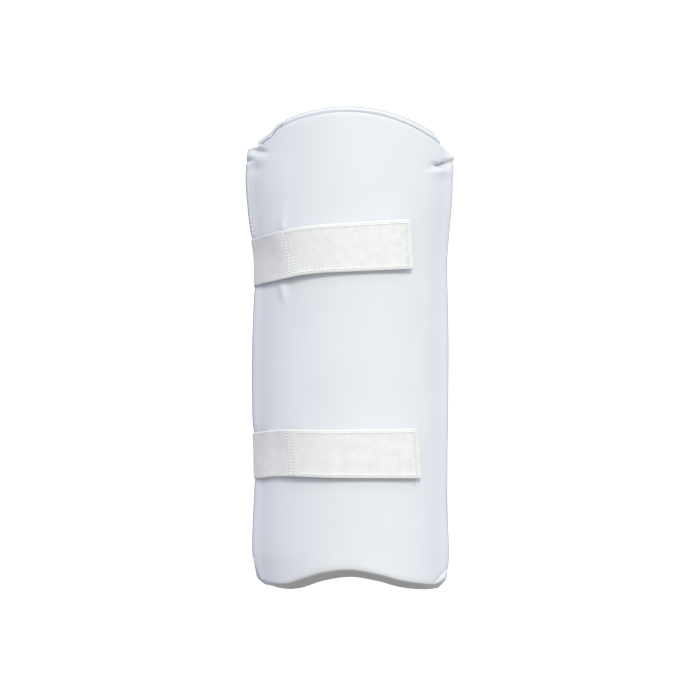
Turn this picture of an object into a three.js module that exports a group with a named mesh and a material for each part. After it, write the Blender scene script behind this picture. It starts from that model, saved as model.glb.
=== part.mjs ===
// A cricket forearm guard: moulded foam in a sewn white cover, held round the arm by two elastic straps.
// It lies on its hollow side. +Y runs to the arched elbow end, +X to the side where the straps are sewn
// on, and +Z away from the arm. Sizes are in millimetres, and turns are in radians from the crown.

import * as THREE from "three";

// Driving dimensions: the outline seen from above
const guardLength = 263; // from the wrist lobes to the crown of the elbow hem
const waistWidth = 107; // from seam to seam across the middle
const archRadius = 87.4; // of the hem round the elbow end
const archShift = -1.9; // the arch's crown lies left of the middle
const shoulderDrop = 6.5; // how far the shoulders fall below the arch
const wristNotch = 7; // depth of the scallop between the wrist lobes
const wristBevel = 3.8; // how far the wrist end leans back

// Driving dimensions: the curved section
const wrapAngle = 62; // degrees from the crown to where the sides start to round
const padThickness = 14; // cover, foam and lining at the crown
const sideThickness = 10; // the same at the long sides
const endThickness = 5; // what is left at the ends of the guard
const endRound = 7; // how far from the elbow end the back starts to round
const liningThickness = 1.5;
const creaseDepth = 1.6; // the deepest shoulder crease
const clearance = 0.3; // between neighbouring pieces

// Driving dimensions: the hem of the elbow end
const hemWidth = 2.7;
const hemThickness = 1.6;
const hemDepth = 2.6; // below the front face

// Driving dimensions: the straps
const strapWidth = 25.4;
const strapThickness = 1.5;
const hookTapeThickness = 1.4;
const hookTapeLength = 70;
const hookTapeMargin = 1; // from the tape to the strap's edges and free end
const strapRamp = 6; // where a strap comes down from its hook tape to the cover
const sewnAngle = 140; // degrees from the crown to the strap's sewn end
const upperStrapPlace = 54.3; // from the guard's middle to the strap's middle
const lowerStrapPlace = -57.4;
const upperStrapReach = 34; // from the crown to the free end
const lowerStrapReach = 38.3;

const wrap = THREE.MathUtils.degToRad(wrapAngle);
const sewnTurn = THREE.MathUtils.degToRad(sewnAngle);
const halfLength = guardLength / 2;
const halfWaist = waistWidth / 2;
const sideRound = sideThickness / 2;
const padRest = strapThickness + clearance; // the straps under the hollow carry the pad
const sideReach = (halfWaist - sideRound) / Math.sin(wrap); // from the arc's centre to a side round's
const padRadius = sideReach + sideRound;
const arcHeight = padRest + sideRound - sideReach * Math.cos(wrap);

// The long sides, from wrist to elbow: at is a share of the half length, and width and sway are shares
// of the half waist. The straps draw the left side in.
const outlineRows = [
  { at: -1.0, width: 0.965, sway: 0.022 },
  { at: -0.94, width: 0.98, sway: 0.017 },
  { at: -0.84, width: 1.0, sway: 0.006 },
  { at: -0.59, width: 0.985, sway: 0.01 },
  { at: -0.437, width: 0.977, sway: 0.015 },
  { at: -0.28, width: 0.997, sway: 0.003 },
  { at: 0.0, width: 1.0, sway: 0.004 },
  { at: 0.2, width: 0.987, sway: 0.009 },
  { at: 0.37, width: 0.976, sway: 0.016 },
  { at: 0.49, width: 1.016, sway: -0.002 },
  { at: 0.6, width: 1.043, sway: -0.005 },
  { at: 0.71, width: 1.057, sway: -0.008 },
  { at: 0.85, width: 1.048, sway: -0.002 },
  { at: 1.0, width: 1.025, sway: 0.0 },
];

// The elbow end: at is a share of the half waist, drop of the shoulder drop, hem of the hem's width, and
// sink, where the hem folds behind, of the side's thickness
const elbowRows = [
  { at: -1.06, drop: 1.0, hem: 0.0, sink: 0.4 },
  { at: -1.0, drop: 0.72, hem: 0.1, sink: 0.4 },
  { at: -0.94, drop: 0.55, hem: 0.9, sink: 0.35 },
  { at: -0.87, drop: 0.48, hem: 1.0, sink: 0.3 },
  { at: -0.81, drop: 0.4, hem: 1.0, sink: 0.22 },
  { at: -0.75, drop: 0.1, hem: 0.9, sink: 0.08 },
  { at: -0.68, drop: 0.03, hem: 1.0, sink: 0.0 },
  { at: 0.0, drop: 0.0, hem: 1.0, sink: 0.0 },
  { at: 0.84, drop: 0.0, hem: 1.0, sink: 0.0 },
  { at: 0.9, drop: 0.08, hem: 0.75, sink: 0.0 },
  { at: 0.95, drop: 0.44, hem: 0.1, sink: 0.0 },
  { at: 1.0, drop: 0.78, hem: 0.0, sink: 0.0 },
  { at: 1.06, drop: 0.8, hem: 0.0, sink: 0.0 },
];
const hemEnds = { left: -0.94, right: 0.92 };
const steepestHem = 1.2; // the slope of the arch past which the hem widens no more

// The wrist end: at is a share of the half waist, rise of the notch, and bevel of the wrist bevel
const wristRows = [
  { at: -0.92, rise: 0.52, bevel: 0.45 },
  { at: -0.78, rise: 0.19, bevel: 0.7 },
  { at: -0.62, rise: 0.02, bevel: 1.0 },
  { at: -0.5, rise: 0.15, bevel: 1.35 },
  { at: -0.3, rise: 0.65, bevel: 1.2 },
  { at: 0.0, rise: 1.0, bevel: 1.0 },
  { at: 0.3, rise: 0.64, bevel: 0.95 },
  { at: 0.5, rise: 0.22, bevel: 0.95 },
  { at: 0.66, rise: 0.03, bevel: 0.92 },
  { at: 0.84, rise: 0.0, bevel: 0.7 },
  { at: 0.92, rise: 0.2, bevel: 0.6 },
];

// How the faces close at the two ends: inset is a share of the wrist's bevel and of the elbow's round,
// and sunk and raised are shares of what the front and the back face lose there
const wristProfile = [
  { inset: 0.0, sunk: 1.0, raised: 0.0 },
  { inset: 0.5, sunk: 0.55, raised: 0.0 },
  { inset: 0.85, sunk: 0.2, raised: 0.0 },
  { inset: 1.1, sunk: 0.06, raised: 0.0 },
  { inset: 1.7, sunk: 0.0, raised: 0.0 },
];
const elbowProfile = [
  { inset: 1.0, sunk: 0.0, raised: 0.0 },
  { inset: 0.6, sunk: 0.01, raised: 0.06 },
  { inset: 0.32, sunk: 0.05, raised: 0.2 },
  { inset: 0.13, sunk: 0.14, raised: 0.42 },
  { inset: 0.0, sunk: 0.28, raised: 0.7 },
];

// The rows of faces between the two ends: coarse along the arm, fine round the shoulders
const shellSteps = [
  { to: 0.56, count: 10 },
  { to: 0.83, count: 8 },
  { to: 1.0, count: 14 },
];
const liningSteps = [
  { to: 0.56, count: 10 },
  { to: 0.83, count: 8 },
  { to: 1.0, count: 7 },
];

// Creases and bulges of the front cover: x and y are shares of the half waist and half length, long and
// broad of the strap's width, lean is in degrees, and depth is a share of the crease's depth
const shoulderDents = [
  { x: 0.94, y: 0.762, long: 0.26, broad: 0.06, lean: 14, depth: 1.0 },
  { x: 0.93, y: 0.737, long: 0.22, broad: 0.11, lean: 4, depth: -0.35 },
  { x: -0.94, y: 0.818, long: 0.17, broad: 0.055, lean: -8, depth: 0.85 },
  { x: -0.94, y: 0.785, long: 0.2, broad: 0.11, lean: 0, depth: -0.35 },
  { x: -0.98, y: 0.745, long: 0.15, broad: 0.12, lean: 0, depth: 0.3 },
  { x: 1.06, y: 0.789, long: 0.14, broad: 0.12, lean: 0, depth: -1.1 },
  { x: -1.05, y: 0.812, long: 0.12, broad: 0.07, lean: 0, depth: -0.4 },
  { x: -1.05, y: 0.786, long: 0.12, broad: 0.06, lean: 0, depth: 0.4 },
];

// Puckers where the upper strap, which has come down a little there, pulls on the cover: away is a share
// of the strap's width from its edge
const puckerDrop = 0.2 * strapWidth;
const strapPuckers = [
  { x: -0.71, side: 1, away: 0.14, long: 0.24, broad: 0.08, lean: 84, depth: 0.4 },
  { x: -0.71, side: -1, away: 0.16, long: 0.3, broad: 0.08, lean: 96, depth: 0.5 },
];

// The straps' courses from the free end to the sewn end: at is a share of the strap's length, and shift
// of its width
const upperSlant = [
  { at: 0.0, shift: 0.075 },
  { at: 0.165, shift: 0.0 },
  { at: 0.3, shift: -0.06 },
  { at: 0.34, shift: -0.11 },
  { at: 0.465, shift: -0.33 },
  { at: 0.54, shift: -0.43 },
  { at: 1.0, shift: -0.6 },
];
const lowerSlant = [
  { at: 0.0, shift: -0.01 },
  { at: 0.17, shift: 0.0 },
  { at: 0.33, shift: 0.03 },
  { at: 0.47, shift: -0.03 },
  { at: 1.0, shift: -0.04 },
];

// A smooth curve through a table's rows
function read(rows, place, column) {
  const last = rows.length - 1;
  const at = THREE.MathUtils.clamp(place, rows[0].at, rows[last].at);
  let low = 0;
  while (low < last - 1 && rows[low + 1].at < at) {
    low += 1;
  }
  const slope = (index) => {
    const before = rows[Math.max(index - 1, 0)];
    const after = rows[Math.min(index + 1, last)];
    return (after[column] - before[column]) / (after.at - before.at);
  };
  const from = rows[low];
  const to = rows[low + 1];
  const span = to.at - from.at;
  const share = (at - from.at) / span;
  const ease = share * share * (3 - 2 * share);
  const leave = share * (1 - share) ** 2 * span * slope(low);
  const arrive = share * share * (share - 1) * span * slope(low + 1);
  return from[column] + (to[column] - from[column]) * ease + leave + arrive;
}

function between(start, end, count) {
  return Array.from({ length: count + 1 }, (_, step) => start + ((end - start) * step) / count);
}

// The guard has one section all along, an arc over the top with a round at each side, which is stretched
// sideways to the outline at its height
function stretchedX(x, y) {
  const width = read(outlineRows, y / halfLength, "width");
  return x * width + halfWaist * read(outlineRows, y / halfLength, "sway");
}

function onGuard(point, y) {
  return new THREE.Vector3(stretchedX(point.x, y), y, point.z + arcHeight);
}

function thicknessAt(turn) {
  const share = Math.min(Math.abs(turn) / wrap, 1);
  return sideThickness + (padThickness - sideThickness) * Math.cos((share * Math.PI) / 2) ** 2;
}

// The round of a long side, which shrinks where the faces close at the ends
function sideOf(row) {
  const loss = sideThickness - endThickness;
  const round = (sideThickness - (row.sunk + row.raised) * loss) / 2;
  return { round, reach: padRadius - row.sunk * loss - round };
}

// The front face: the turn runs past the wrap angle, round the side, as far as the seam or further
function frontPoint(turn, lift, row) {
  const held = THREE.MathUtils.clamp(turn, -wrap, wrap);
  const side = sideOf(row);
  const loss = row.sunk * (thicknessAt(held) - sideThickness);
  const reach = side.reach - loss;
  const round = side.round + lift;
  return {
    x: reach * Math.sin(held) + round * Math.sin(turn),
    z: reach * Math.cos(held) + round * Math.cos(turn),
  };
}

// The back face: the share runs from seam to seam, round the side, across the hollow and round again
const backArcShare = 0.62;
function backPoint(share, inset, row) {
  const hand = Math.sign(share) || 1;
  const past = (Math.abs(share) - backArcShare) / (1 - backArcShare);
  const side = sideOf(row);
  if (past > 0) {
    const turn = hand * (Math.PI + wrap - past * (Math.PI / 2 + wrap));
    const round = side.round - inset;
    return {
      x: side.reach * Math.sin(hand * wrap) + round * Math.sin(turn),
      z: side.reach * Math.cos(wrap) + round * Math.cos(turn),
    };
  }
  const turn = (share / backArcShare) * wrap;
  const thickness = thicknessAt(turn);
  const reach = padRadius - thickness + row.raised * (thickness - endThickness) + inset;
  return { x: reach * Math.sin(turn), z: reach * Math.cos(turn) };
}

function backSharesTo(seam) {
  return [
    ...between(-seam, -backArcShare, 6).slice(0, -1),
    ...between(-backArcShare, backArcShare, 18).slice(0, -1),
    ...between(backArcShare, seam, 6),
  ];
}

// The two ends of the guard, as heights over a share of the half waist
function archHeight(across) {
  const offset = across * halfWaist - archShift;
  const rise = Math.sqrt(Math.max(archRadius ** 2 - offset ** 2, 0));
  return halfLength - archRadius + rise - shoulderDrop * read(elbowRows, across, "drop");
}

function hemInset(across) {
  const step = 0.01;
  const slope = (archHeight(across + step) - archHeight(across - step)) / (2 * step * halfWaist);
  const lean = Math.min(Math.abs(slope), steepestHem);
  return hemWidth * read(elbowRows, across, "hem") * Math.hypot(1, lean);
}

function elbowHeight(across) {
  return archHeight(across) - hemInset(across);
}

function wristHeight(across) {
  return -halfLength + wristNotch * read(wristRows, across, "rise");
}

function wristInset(across, share) {
  return share * wristBevel * read(wristRows, across, "bevel");
}

// The rows of points along the guard: each knows how far its faces have closed and its height
function padRows(steps) {
  const wrist = wristProfile.map((row) => ({
    ...row,
    height: (across) => wristHeight(across) + wristInset(across, row.inset),
  }));
  const elbow = elbowProfile.map((row) => ({
    ...row,
    height: (across) => elbowHeight(across) - row.inset * endRound,
  }));
  const first = wrist[wrist.length - 1];
  const last = elbow[0];
  const body = [];
  let from = 0;
  for (const step of steps) {
    for (const share of between(from, step.to, step.count).slice(1)) {
      const height = (across) => THREE.MathUtils.lerp(first.height(across), last.height(across), share);
      body.push({ sunk: 0, raised: 0, height });
    }
    from = step.to;
  }
  return [...wrist, ...body.slice(0, -1), ...elbow];
}

// How deep the front cover is pressed in at a place, or pushed out where it is negative
function dentAt(x, y) {
  const strapEdge = (side) => upperStrapPlace - puckerDrop + (side * strapWidth) / 2;
  const shoulders = shoulderDents.map((dent) => ({ ...dent, height: dent.y * halfLength }));
  const puckers = strapPuckers.map((dent) => ({
    ...dent,
    height: strapEdge(dent.side) + dent.side * dent.away * strapWidth,
  }));
  let depth = 0;
  for (const dent of [...shoulders, ...puckers]) {
    const lean = THREE.MathUtils.degToRad(dent.lean);
    const right = x - dent.x * halfWaist;
    const up = y - dent.height;
    const along = (right * Math.cos(lean) + up * Math.sin(lean)) / (dent.long * strapWidth);
    const beside = (up * Math.cos(lean) - right * Math.sin(lean)) / (dent.broad * strapWidth);
    depth += creaseDepth * dent.depth * Math.exp(-(along ** 2) - beside ** 2);
  }
  return depth;
}

// A grid of points. The guide, a face of the shell, gives each point's height: a first look at the bare
// section says about where it is along the guard, and the outline there says it exactly
function padGrid(rows, places, guide, pointOf) {
  return rows.map((row) =>
    places.map((place) => {
      const bareX = guide(place, row).x;
      const roughY = row.height(bareX / halfWaist);
      const x = stretchedX(bareX, roughY);
      const y = row.height(x / halfWaist);
      return onGuard(pointOf(place, row, dentAt(x, y)), y);
    }),
  );
}

const shellFront = (turn, row, dent = 0) => frontPoint(turn, -dent, row);
const shellBack = (share, row) => backPoint(share, liningThickness + clearance, row);

// One closed solid between two grids of points, joined all round their edges
function solidBetween(upper, lower) {
  const rows = upper.length;
  const columns = upper[0].length;
  const points = [...upper.flat(), ...lower.flat()];
  const index = (row, column) => row * columns + column;
  const under = (corner) => corner + rows * columns;
  const faces = [];
  for (let row = 0; row < rows - 1; row += 1) {
    for (let column = 0; column < columns - 1; column += 1) {
      const a = index(row, column);
      const b = index(row + 1, column);
      const c = index(row + 1, column + 1);
      const d = index(row, column + 1);
      faces.push([a, b, c], [a, c, d]);
      faces.push([under(c), under(b), under(a)], [under(d), under(c), under(a)]);
    }
  }
  const rim = [];
  for (let row = 0; row < rows - 1; row += 1) {
    rim.push(index(row, 0));
  }
  for (let column = 0; column < columns - 1; column += 1) {
    rim.push(index(rows - 1, column));
  }
  for (let row = rows - 1; row > 0; row -= 1) {
    rim.push(index(row, columns - 1));
  }
  for (let column = columns - 1; column > 0; column -= 1) {
    rim.push(index(0, column));
  }
  rim.forEach((corner, step) => {
    const next = rim[(step + 1) % rim.length];
    faces.push([next, corner, under(corner)], [next, under(corner), under(next)]);
  });
  const volume = faces.reduce(
    (sum, [a, b, c]) => sum + points[a].dot(points[b].clone().cross(points[c])),
    0,
  );
  const outward = volume < 0 ? faces.map(([a, b, c]) => [a, c, b]) : faces;
  const geometry = new THREE.BufferGeometry().setFromPoints(points);
  geometry.setIndex(outward.flat());
  geometry.computeVertexNormals();
  return geometry;
}

function cloth(name, geometry, color, roughness) {
  const material = new THREE.MeshStandardMaterial({ color, roughness, metalness: 0 });
  const mesh = new THREE.Mesh(geometry, material);
  mesh.name = name;
  return mesh;
}

const coverWhite = 0xe3e7ee;
const liningWhite = 0xe6e7ea;
const elasticWhite = 0xf0f1ee;
const tapeWhite = 0xe8e8e4;

// The foam in its front cover, with a ledge all round that the lining fills
function paddedShell() {
  const rows = padRows(shellSteps);
  const crownTurn = 0.6 * wrap;
  const frontTurns = [
    ...between(-Math.PI / 2, -wrap, 2).slice(0, -1),
    ...between(-wrap, -crownTurn, 7).slice(0, -1),
    ...between(-crownTurn, crownTurn, 12).slice(0, -1),
    ...between(crownTurn, wrap, 7).slice(0, -1),
    ...between(wrap, Math.PI / 2, 2),
  ];
  const backShares = backSharesTo(1);
  const front = padGrid(rows, frontTurns, shellFront, shellFront);
  const back = padGrid(rows, backShares, shellBack, shellBack);
  return cloth("padded_shell", solidBetween(front, back), coverWhite, 0.7);
}

// The lining covers the hollow and turns up round both long sides to the seam
function lining() {
  const rows = padRows(liningSteps);
  const sideTurn = Math.PI / 2 + wrap;
  const gapTurn = clearance / (sideRound - liningThickness);
  const shares = backSharesTo(1 - (1 - backArcShare) * (gapTurn / sideTurn));
  const face = (inset) =>
    padGrid(rows, shares, shellBack, (share, row) => backPoint(share, inset, row));
  return cloth("lining", solidBetween(face(liningThickness), face(0)), liningWhite, 0.85);
}

// The hem is a flat lip round the elbow end that folds behind the left shoulder
function topHem() {
  const stations = between(hemEnds.left, hemEnds.right, 44);
  const face = (depth) =>
    stations.map((across) => {
      const outer = archHeight(across);
      const inner = elbowHeight(across) + clearance;
      const sink = depth + sideThickness * read(elbowRows, across, "sink");
      return [inner, outer].map((y) => {
        const width = stretchedX(1, y) - stretchedX(0, y);
        const bareX = (across * halfWaist - stretchedX(0, y)) / width;
        return onGuard({ x: bareX, z: Math.sqrt((padRadius - sink) ** 2 - bareX ** 2) }, y);
      });
    });
  return cloth("top_hem", solidBetween(face(hemDepth), face(hemDepth + hemThickness)), coverWhite, 0.7);
}

// A strap's way round the pad: over the front, round the left side, under the hollow, to its sewn end
function strapWay(reach) {
  const startTurn = Math.asin(reach / (padRadius + padRest));
  const sideBend = sideRound + padRest;
  const stretches = [
    { length: (startTurn + wrap) * (padRadius + padRest), from: startTurn, to: -wrap, steps: 20 },
    { length: (Math.PI - wrap) * sideBend, from: -wrap, to: -Math.PI, steps: 9 },
    { length: 2 * sideReach * Math.sin(wrap), from: -Math.PI, to: Math.PI, steps: 6 },
    { length: (Math.PI - sewnTurn) * sideBend, from: Math.PI, to: sewnTurn, steps: 3 },
  ];
  let start = 0;
  for (const stretch of stretches) {
    stretch.start = start;
    start += stretch.length;
  }
  return { stretches, length: start };
}

const openRow = { sunk: 0, raised: 0 };

function wayPoint(way, distance, y, lift) {
  const { stretches } = way;
  const stretch = stretches.findLast((one) => one.start <= distance) || stretches[0];
  const share = Math.min((distance - stretch.start) / stretch.length, 1);
  const start = frontPoint(stretch.from, lift, openRow);
  const end = frontPoint(stretch.to, lift, openRow);
  const flat = stretch.from === -Math.PI;
  const turn = THREE.MathUtils.lerp(stretch.from, stretch.to, share);
  const point = flat
    ? { x: THREE.MathUtils.lerp(start.x, end.x, share), z: start.z }
    : frontPoint(turn, lift, openRow);
  return onGuard(point, y);
}

// A band of webbing between two distances along a strap's way, square to its slanted course
function band(strap, distances, width, liftAt) {
  const { way, slant, place } = strap;
  const course = (distance) => place + strapWidth * read(slant, distance / way.length, "shift");
  return distances.map((distance) => {
    const step = 1;
    const slope = (course(distance + step) - course(distance - step)) / (2 * step);
    return [-1 / 2, -1 / 6, 1 / 6, 1 / 2].map((share) => {
      const beside = share * width;
      const shifted = distance - slope * beside;
      return wayPoint(way, shifted, course(distance) + beside, liftAt(distance));
    });
  });
}

const tapeLift = 2 * clearance + hookTapeThickness;
function elasticStrap(name, strap) {
  const { stretches } = strap.way;
  const stops = stretches.flatMap((stretch) =>
    between(stretch.start, stretch.start + stretch.length, stretch.steps).slice(1),
  );
  const rampStart = hookTapeMargin + hookTapeLength;
  const ramp = between(rampStart, rampStart + strapRamp, 3);
  const near = (one) => ramp.some((other) => Math.abs(one - other) < 1);
  const distances = [0, ...stops.filter((one) => !near(one)), ...ramp].sort((a, b) => a - b);
  const under = (distance) => {
    const share = THREE.MathUtils.smoothstep(distance, rampStart, rampStart + strapRamp);
    return THREE.MathUtils.lerp(tapeLift, clearance, share);
  };
  const outer = band(strap, distances, strapWidth, (distance) => under(distance) + strapThickness);
  const inner = band(strap, distances, strapWidth, under);
  return cloth(name, solidBetween(outer, inner), elasticWhite, 0.8);
}

function hookTape(name, strap) {
  const distances = between(hookTapeMargin, hookTapeMargin + hookTapeLength, 14);
  const width = strapWidth - 2 * hookTapeMargin;
  const outer = band(strap, distances, width, () => clearance + hookTapeThickness);
  const inner = band(strap, distances, width, () => clearance);
  return cloth(name, solidBetween(outer, inner), tapeWhite, 0.9);
}

const upper = { way: strapWay(upperStrapReach), slant: upperSlant, place: upperStrapPlace };
const lower = { way: strapWay(lowerStrapReach), slant: lowerSlant, place: lowerStrapPlace };

const pad = new THREE.Group();
pad.add(paddedShell(), lining(), topHem());

const upperFastening = new THREE.Group();
upperFastening.add(elasticStrap("upper_strap", upper), hookTape("upper_hook_tape", upper));

const lowerFastening = new THREE.Group();
lowerFastening.add(elasticStrap("lower_strap", lower), hookTape("lower_hook_tape", lower));

const armGuard = new THREE.Group();
armGuard.add(pad, upperFastening, lowerFastening);

export default armGuard;
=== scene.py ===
import math

import bpy
import numpy as np
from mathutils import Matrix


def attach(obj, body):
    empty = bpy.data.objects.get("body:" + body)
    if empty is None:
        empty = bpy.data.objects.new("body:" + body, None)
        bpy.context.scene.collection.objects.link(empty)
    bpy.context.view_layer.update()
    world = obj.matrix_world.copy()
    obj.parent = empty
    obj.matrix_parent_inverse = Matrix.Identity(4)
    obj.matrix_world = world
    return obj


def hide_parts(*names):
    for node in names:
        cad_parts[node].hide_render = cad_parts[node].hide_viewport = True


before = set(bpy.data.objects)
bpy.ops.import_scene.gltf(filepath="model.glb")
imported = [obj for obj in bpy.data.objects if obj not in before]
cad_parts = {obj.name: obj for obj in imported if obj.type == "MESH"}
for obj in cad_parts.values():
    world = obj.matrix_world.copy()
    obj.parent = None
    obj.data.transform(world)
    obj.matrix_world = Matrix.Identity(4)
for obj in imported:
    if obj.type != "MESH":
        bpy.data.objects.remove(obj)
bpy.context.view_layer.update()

# A cricket forearm guard lies on its hollow side and is seen from straight above. The pieces follow the
# solids' own sizes, in millimetres, with finer faces. Turns are in radians from the crown.
MM = 0.001

# The outline seen from above
GUARD_LENGTH = 263
WAIST_WIDTH = 107
ARCH_RADIUS = 87.4
ARCH_SHIFT = -1.9
SHOULDER_DROP = 6.5
WRIST_NOTCH = 7
WRIST_BEVEL = 3.8

# The curved section
WRAP = math.radians(62)
PAD_THICKNESS = 14
SIDE_THICKNESS = 10
END_THICKNESS = 5
END_ROUND = 7
LINING_THICKNESS = 1.5
CREASE_DEPTH = 1.6
CLEARANCE = 0.3

# The hem of the elbow end: its two ends and its fold's start are shares of the half waist. Where the arch
# is steeper than the last value, the hem reaches no further along y.
HEM_LEFT = -0.94
HEM_RIGHT = 0.92
HEM_WIDTH = 2.7
HEM_DEPTH = 3.2
HEM_CROWN = 0.6
HEM_GROOVE = 1.6
HEM_ROLL = 1.3
HEM_TUCK = 0.7
FOLD_START = -0.66
FOLD_GAP = 0.6
STEEPEST_HEM = 1.2

# The straps: how far their ends lean, how far they pull the left side in and over what distance, and how
# much they widen toward the free end
STRAP_WIDTH = 25.4
STRAP_THICKNESS = 1.5
TAPE_THICKNESS = 1.4
TAPE_LENGTH = 70
TAPE_MARGIN = 1
STRAP_LEAN = 0.085
STRAP_PULL = 0.9
PULL_REACH = 14
STRAP_FLARE = 0.08
STRAP_CORNER = 1.8
STRAP_ROUND = 0.9
FLARE_LENGTH = 95
SEWN_TURN = math.radians(140)

# Cloth details: the ribs and selvages of the elastic, the ramp down from the hook tape, the valley beside
# both long edges, the seam's grey cord of painted shade, which ends at a share of the half length, a
# stitch's length, and the radii of the threads
RIB_PITCH = 1.12
RIB_HEIGHT = 0.06
SELVAGE = 0.7
SELVAGE_RISE = 0.05
SOFT_RAMP = 18
VALLEY_TURN = math.radians(56.5)
VALLEY_INNER = math.radians(8)
VALLEY_OUTER = math.radians(2.5)
VALLEY_DEPTH = 0.65
SEAM_TURN = math.radians(84)
SEAM_SHADE_RADIUS = 0.36
SEAM_END = 0.765
STITCH = 1.7
STRAP_THREAD = 0.21
HEM_THREAD = 0.15
SIDE_THREAD = 0.16

HALF_LENGTH = GUARD_LENGTH / 2
HALF_WAIST = WAIST_WIDTH / 2
SIDE_ROUND = SIDE_THICKNESS / 2
PAD_REST = STRAP_THICKNESS + CLEARANCE
SIDE_REACH = (HALF_WAIST - SIDE_ROUND) / math.sin(WRAP)
PAD_RADIUS = SIDE_REACH + SIDE_ROUND
ARC_HEIGHT = PAD_REST + SIDE_ROUND - SIDE_REACH * math.cos(WRAP)
TAPE_LIFT = 2 * CLEARANCE + TAPE_THICKNESS

# The share of the back face, from seam to seam, that lies on its middle arc
BACK_ARC_SHARE = 0.62

# The shell's section away from both ends
OPEN_ROW = {"sunk": 0.0, "raised": 0.0}

# The long sides, from wrist to elbow: the places as shares of the half length, the half width and the
# middle line's sway as shares of the half waist
OUTLINE = {
    "at": [-1.0, -0.94, -0.84, -0.59, -0.437, -0.28, 0.0, 0.2, 0.37, 0.49, 0.6, 0.71, 0.85, 1.0],
    "width": [
        0.965, 0.98, 1.0, 0.985, 0.977, 0.997, 1.0,
        0.987, 0.976, 1.016, 1.043, 1.057, 1.048, 1.025,
    ],
    "sway": [
        0.022, 0.017, 0.006, 0.01, 0.015, 0.003, 0.004,
        0.009, 0.016, -0.002, -0.005, -0.008, -0.002, 0.0,
    ],
}

# The elbow end across the guard: its drop at the shoulders, its hem's width, and how far the hem sinks
ELBOW = {
    "at": [-1.06, -1.0, -0.94, -0.87, -0.81, -0.75, -0.68, 0.0, 0.84, 0.9, 0.95, 1.0, 1.06],
    "drop": [1.0, 0.72, 0.55, 0.48, 0.4, 0.1, 0.03, 0.0, 0.0, 0.08, 0.44, 0.78, 0.8],
    "hem": [0.0, 0.1, 0.9, 1.0, 1.0, 0.9, 1.0, 1.0, 1.0, 0.75, 0.1, 0.0, 0.0],
    "sink": [0.4, 0.4, 0.35, 0.3, 0.22, 0.08, 0.0, 0.0, 0.0, 0.0, 0.0, 0.0, 0.0],
}

# The wrist end across the guard: the notch between its lobes, and how far its face leans back
WRIST = {
    "at": [
        -0.975, -0.95, -0.91, -0.8, -0.64, -0.5, -0.3, 0.0,
        0.3, 0.5, 0.66, 0.84, 0.9, 0.95, 0.985, 1.0,
    ],
    "rise": [1.9, 1.1, 0.6, 0.24, 0.03, 0.15, 0.65, 1.0, 0.64, 0.22, 0.03, 0.0, 0.15, 0.45, 1.0, 1.4],
    "bevel": [0.2, 0.22, 0.26, 0.42, 0.78, 1.25, 1.2, 1.0, 0.95, 0.95, 0.92, 0.7, 0.6, 0.5, 0.4, 0.3],
}

# How the faces close at the two ends, by the inset, a share of the bevel and of the end's round: how far
# the front sinks and the back rises
WRIST_CLOSE = {"at": [0.0, 0.5, 0.85, 1.1, 1.7], "sunk": [1.0, 0.55, 0.2, 0.06, 0.0]}
ELBOW_CLOSE = {
    "at": [0.0, 0.13, 0.32, 0.6, 1.0],
    "sunk": [0.03, 0.01, 0.0, 0.0, 0.0],
    "raised": [0.7, 0.42, 0.2, 0.06, 0.0],
}

# Dents of the cover: places are shares of the half waist and half length, sizes of the strap's width,
# and depth of the crease's depth
DENTS = [
    {"x": 0.94, "y": 0.762, "long": 0.26, "broad": 0.06, "lean": 14, "depth": 1.0},
    {"x": 0.93, "y": 0.737, "long": 0.22, "broad": 0.11, "lean": 4, "depth": -0.5},
    {"x": -0.94, "y": 0.818, "long": 0.17, "broad": 0.055, "lean": -8, "depth": 0.85},
    {"x": -0.94, "y": 0.785, "long": 0.2, "broad": 0.11, "lean": 0, "depth": -0.35},
    {"x": -0.98, "y": 0.745, "long": 0.15, "broad": 0.12, "lean": 0, "depth": 0.3},
    {"x": 1.06, "y": 0.789, "long": 0.14, "broad": 0.12, "lean": 0, "depth": -1.1},
    {"x": -1.05, "y": 0.812, "long": 0.12, "broad": 0.07, "lean": 0, "depth": -0.15},
    {"x": -1.05, "y": 0.782, "long": 0.12, "broad": 0.05, "lean": 0, "depth": 0.95},
    {"x": -0.68, "y": 0.51, "long": 0.34, "broad": 0.09, "lean": 84, "depth": -0.55},
    {"x": -0.68, "y": 0.246, "long": 0.3, "broad": 0.09, "lean": 96, "depth": -0.6},
    {"x": 1.02, "y": -0.66, "long": 0.5, "broad": 0.12, "lean": 90, "depth": 0.4},
    {"x": 0.985, "y": -0.958, "long": 0.12, "broad": 0.1, "lean": 50, "depth": -0.55},
]

# Sharp creases of the cover, each a line of places with a width and a depth in millimetres
CREASES = [
    {"line": [(0.83, 0.769), (0.92, 0.76), (1.0, 0.77), (1.06, 0.792)], "broad": 0.8, "depth": 2.3},
    {"line": [(-1.0, 0.828), (-0.93, 0.826), (-0.86, 0.815)], "broad": 0.8, "depth": 0.8},
    {"line": [(-0.7, 0.535), (-0.67, 0.5), (-0.67, 0.48)], "broad": 1.0, "depth": -0.5},
    {"line": [(-0.67, 0.27), (-0.68, 0.235), (-0.67, 0.2)], "broad": 1.1, "depth": -0.6},
    {"line": [(1.01, -0.905), (0.9, -0.96), (0.85, -0.985)], "broad": 0.6, "depth": 1.1},
]

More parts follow.
